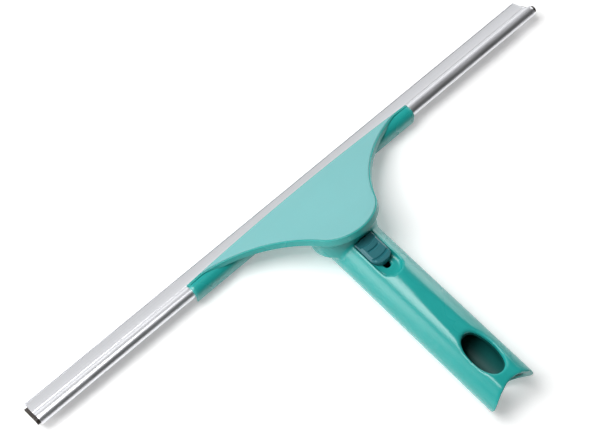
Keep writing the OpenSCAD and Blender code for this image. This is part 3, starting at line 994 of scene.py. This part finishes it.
@dataclass
class LockButton:
    """Sliding lock button: a tongue, square in front and round behind, with a stepped thumb pad.

    Args:
        width: Width of the button.
        thickness: Height of its upper face over its underside.
        step: Height of the pad over the front of the button.
        pad_from: Distance from the front edge to the pad.
        groove_at: Distances from the front edge to the two grooves.
        groove_half: Half the length of each groove.
        lip_from: Distance from the front edge to the raised rear lip.
        lip: Height of that lip over the pad.
        bow: Radius to which the steps and grooves are bowed in plan.
        stem: Width, length and distance from the front edge of the stem below.
    """

    width: float = 13.4 * MM
    thickness: float = 3.7 * MM
    step: float = 1.1 * MM
    pad_from: float = 4.6 * MM
    groove_at: tuple[float, float] = (8.8 * MM, 14.9 * MM)
    groove_half: tuple[float, float] = (4.2 * MM, 6.0 * MM)
    lip_from: float = 15.6 * MM
    lip: float = 0.95 * MM
    bow: float = 14 * MM
    stem: tuple[float, float, float] = (3.6 * MM, 4 * MM, 8.6 * MM)

    @staticmethod
    def rise(value: float, start: float, end: float) -> float:
        """Smooth step from nought at start to one at end."""
        t = min(max((value - start) / (end - start), 0.0), 1.0)
        return t * t * (3 - 2 * t)

    def height(self, x: float, back: float) -> float:
        """Height of the upper face against the pad's.

        Args:
            x: Place across the button.
            back: Distance from its front edge.

        Returns:
            The height, negative where the face is lower than the pad.
        """
        bowed = back + x * x / (2 * self.bow)
        side = 1 - self.rise(abs(x), 5.3 * MM, 6.1 * MM)
        pad = self.rise(bowed, self.pad_from, self.pad_from + 0.9 * MM)
        h = -self.step + self.step * pad * side
        for at, half in zip(self.groove_at, self.groove_half):
            near = math.exp(-((bowed - at) / (0.42 * MM)) ** 2)
            h -= 0.8 * MM * near * (1 - self.rise(abs(x), half - 0.4 * MM, half))
        sway = min(max((bowed - self.pad_from) / (self.lip_from - self.pad_from), 0.0), 1.0)
        h -= 0.3 * MM * math.sin(math.pi * sway) * side
        return h + self.lip * self.rise(bowed, self.lip_from, self.lip_from + 0.8 * MM) * side

    def ring(self, y: float, front: float, length: float, base: float) -> list[Vector]:
        """Outline across the button at one place.

        Args:
            y: Place of the outline.
            front: Place of the front edge.
            length: Length of the button.
            base: Height of its underside.

        Returns:
            Points of the outline, over the top from left to right and back below.
        """
        back, r = front - y, self.width / 2
        left = max(length - back, 0.02 * MM)
        half = r if left >= r else math.sqrt(r * r - (r - left) ** 2)
        fall = 1 - self.rise(left, 0.0, 1.0 * MM)
        crown = base + self.thickness
        points = [Vector((-half, y, base)), Vector((-half, y, base + 0.5 * self.thickness))]
        for i in range(41):
            x = half * math.sin(math.pi / 2 * (i / 20 - 1))
            edge = self.rise(abs(x), half - 0.7 * MM, half)
            drop = 0.5 * MM * edge * edge + 1.2 * MM * fall * fall
            points.append(Vector((x, y, crown + self.height(x, back) - drop)))
        return points + [Vector((half, y, base + 0.5 * self.thickness)), Vector((half, y, base))]

    def build(self, shop: Workshop) -> None:
        """Builds and dresses the button."""
        low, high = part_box("lock_button")
        front, length = high.y, high.y - low.y
        base = high.z - 1.4 * MM - self.thickness
        steps = 96
        places = [front - length * i / steps for i in range(steps)]
        places += [low.y + 0.06 * MM]
        bm = tidy(loft([self.ring(y, front, length, base) for y in places]))
        wide, long, behind = self.stem
        cube = bmesh.ops.create_cube(bm, size=1.0)["verts"]
        bmesh.ops.scale(bm, verts=cube, vec=Vector((wide, long, base - low.z + 1 * MM)))
        bmesh.ops.translate(bm, verts=cube, vec=Vector((0, front - behind - long / 2, (base + low.z + 1 * MM) / 2)))
        shop.dress(mesh_object("lock_slider", bm, 60), Body.LOCK, Slot.DEEP, "lock_button")


# ---- floor, light and camera ----------------------------------------------------------------


@dataclass(frozen=True)
class Lamp:
    """One soft rectangular lamp that faces the tool.

    Args:
        name: Name of the lamp.
        place: Where it stands.
        size: Its width and height.
        power: Its power in watts.
    """

    name: str
    place: tuple[float, float, float]
    size: tuple[float, float]
    power: float

    def hang(self) -> None:
        """Adds the lamp to the scene."""
        data = bpy.data.lights.new(self.name, "AREA")
        data.shape = "RECTANGLE"
        data.size, data.size_y = self.size
        data.energy = self.power
        made = bpy.data.objects.new(self.name, data)
        made.location = self.place
        made.rotation_euler = (Vector(self.place) - LIT_POINT).to_track_quat("Z", "Y").to_euler()
        bpy.context.scene.collection.objects.link(made)


LIT_POINT = Vector((0, 0.02, 0))
LAMPS = (
    Lamp("key", (-0.45, 0.35, 1.2), (0.7, 0.7), 15.0),
    Lamp("left", (-1.05, 0.38, 0.36), (0.4, 0.7), 5.0),
    Lamp("right", (1.10, 0.36, 0.30), (0.4, 0.7), 4.2),
    Lamp("front", (0.35, 1.25, 0.42), (2.4, 0.9), 4.6),
)


@dataclass
class Studio:
    """Plain pale floor, soft light and the camera.

    Args:
        azimuth: Camera's place round the tool, in degrees.
        elevation: Camera's height above the horizon, in degrees.
        distance: Camera's distance from the point it looks at.
        target: Point on the floor that the camera looks at.
        lens: Focal length for a 36 mm sensor, in millimetres.
        bright_way: Direction in which the surround is brightest.
        bright_span: How nearly a direction agrees with that way where the surround is dimmest and brightest.
        glow: Strength of the surround at those two ends.
        floor_glow: Light that the floor gives of itself, which keeps the shadows faint.
    """

    azimuth: float = -43.0
    elevation: float = 63.6
    distance: float = 0.7796
    target: tuple[float, float, float] = (-0.01027, 0.07186, 0.0)
    lens: float = 78.66
    bright_way: tuple[float, float, float] = (-0.25, 0.6, 0.5)
    bright_span: tuple[float, float] = (-0.35, 0.9)
    glow: tuple[float, float] = (0.95, 1.4)
    floor_glow: float = 0.3

    def camera(self) -> None:
        """Sets the camera at its viewing angle."""
        a, e = math.radians(self.azimuth), math.radians(self.elevation)
        back = Vector((math.sin(a) * math.cos(e), -math.cos(a) * math.cos(e), math.sin(e)))
        data = bpy.data.cameras.new("camera")
        data.lens = self.lens
        data.sensor_width = 36.0
        data.clip_start = 0.01
        made = bpy.data.objects.new("camera", data)
        made.location = Vector(self.target) + back * self.distance
        made.rotation_euler = back.to_track_quat("Z", "Y").to_euler()
        bpy.context.scene.collection.objects.link(made)
        bpy.context.scene.camera = made

    def floor(self) -> None:
        """Lays a pale, faintly glossy floor under the tool."""
        bm = bmesh.new()
        bmesh.ops.create_grid(bm, x_segments=4, y_segments=4, size=3.0)
        bmesh.ops.translate(bm, verts=bm.verts[:], vec=Vector((0, 0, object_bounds()[0].z - 0.02 * MM)))
        made = mesh_object("floor", bm)
        material = bpy.data.materials.new("pale_floor")
        material.use_nodes = True
        shader = material.node_tree.nodes["Principled BSDF"]
        shader.inputs["Base Color"].default_value = (0.93, 0.93, 0.93, 1)
        shader.inputs["Roughness"].default_value = 0.12
        shader.inputs["Specular IOR Level"].default_value = 0.35
        shader.inputs["Emission Color"].default_value = (1.0, 1.0, 1.0, 1)
        shader.inputs["Emission Strength"].default_value = self.floor_glow
        made.data.materials.append(material)
        made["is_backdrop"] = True

    def surround(self) -> None:
        """Sets a white surround that is brightest ahead of the tool and dimmer behind it."""
        world = bpy.data.worlds.new("surround")
        world.use_nodes = True
        nodes, links = world.node_tree.nodes, world.node_tree.links
        back = nodes["Background"]
        place = nodes.new("ShaderNodeTexCoord")
        facing = nodes.new("ShaderNodeVectorMath")
        facing.operation = "DOT_PRODUCT"
        facing.inputs[1].default_value = Vector(self.bright_way).normalized()
        links.new(place.outputs["Generated"], facing.inputs[0])
        fade = nodes.new("ShaderNodeMapRange")
        for name, limit in zip(("From Min", "From Max", "To Min", "To Max"), (*self.bright_span, *self.glow)):
            fade.inputs[name].default_value = limit
        links.new(facing.outputs["Value"], fade.inputs["Value"])
        links.new(fade.outputs["Result"], back.inputs["Strength"])
        bpy.context.scene.world = world

    def build(self) -> None:
        """Builds the whole studio."""
        bpy.context.scene.view_settings.view_transform = "Standard"
        self.camera()
        self.floor()
        self.surround()
        for lamp in LAMPS:
            lamp.hang()


# ---- the whole ------------------------------------------------------------------------------


def main() -> None:
    """Builds the squeegee piece by piece, then its studio."""
    logging.basicConfig(level=logging.INFO, format="%(asctime)s %(message)s")
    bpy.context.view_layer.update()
    shop = Workshop()
    shop.open()
    axes = HeadAxes()
    RailAndBlade(axes).build(shop)
    HeadMoulding(axes).build(shop)
    HandleShell().build(shop)
    LockButton().build(shop)
    shop.dress_hardware()
    Studio().build()


if __name__ == "__main__":
    main()
